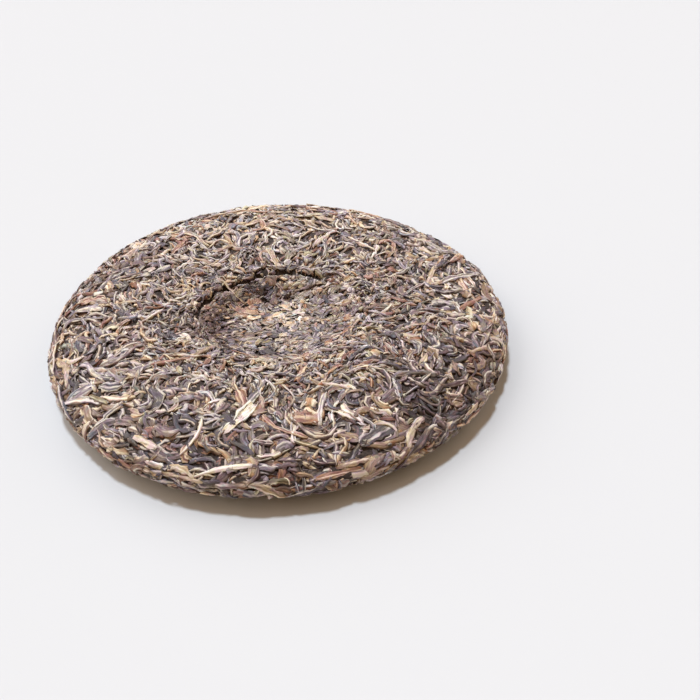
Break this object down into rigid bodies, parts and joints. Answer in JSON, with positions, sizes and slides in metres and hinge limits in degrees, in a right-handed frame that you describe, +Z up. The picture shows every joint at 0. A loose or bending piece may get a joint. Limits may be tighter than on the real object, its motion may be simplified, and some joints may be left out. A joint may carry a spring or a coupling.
{
  "type": "raw pu erh tea cake",
  "caption": "Disc-shaped cake of pressed raw tea leaves with a round edge, a domed underside and a wide dimple in its upper face.",
  "frame": {"origin": "middle of the cake's outline, on the surface that it rests on", "axes": "+Z up through the dimple; -Y towards the side that the picture is taken from; +X to the right in it"},
  "size_m": [0.199, 0.201, 0.0221],
  "materials": {
    "tea_leaf": "matte"
  },
  "bodies": {
    "root": {"tea_cake": "tea_leaf"}
  },
  "joints": []
}
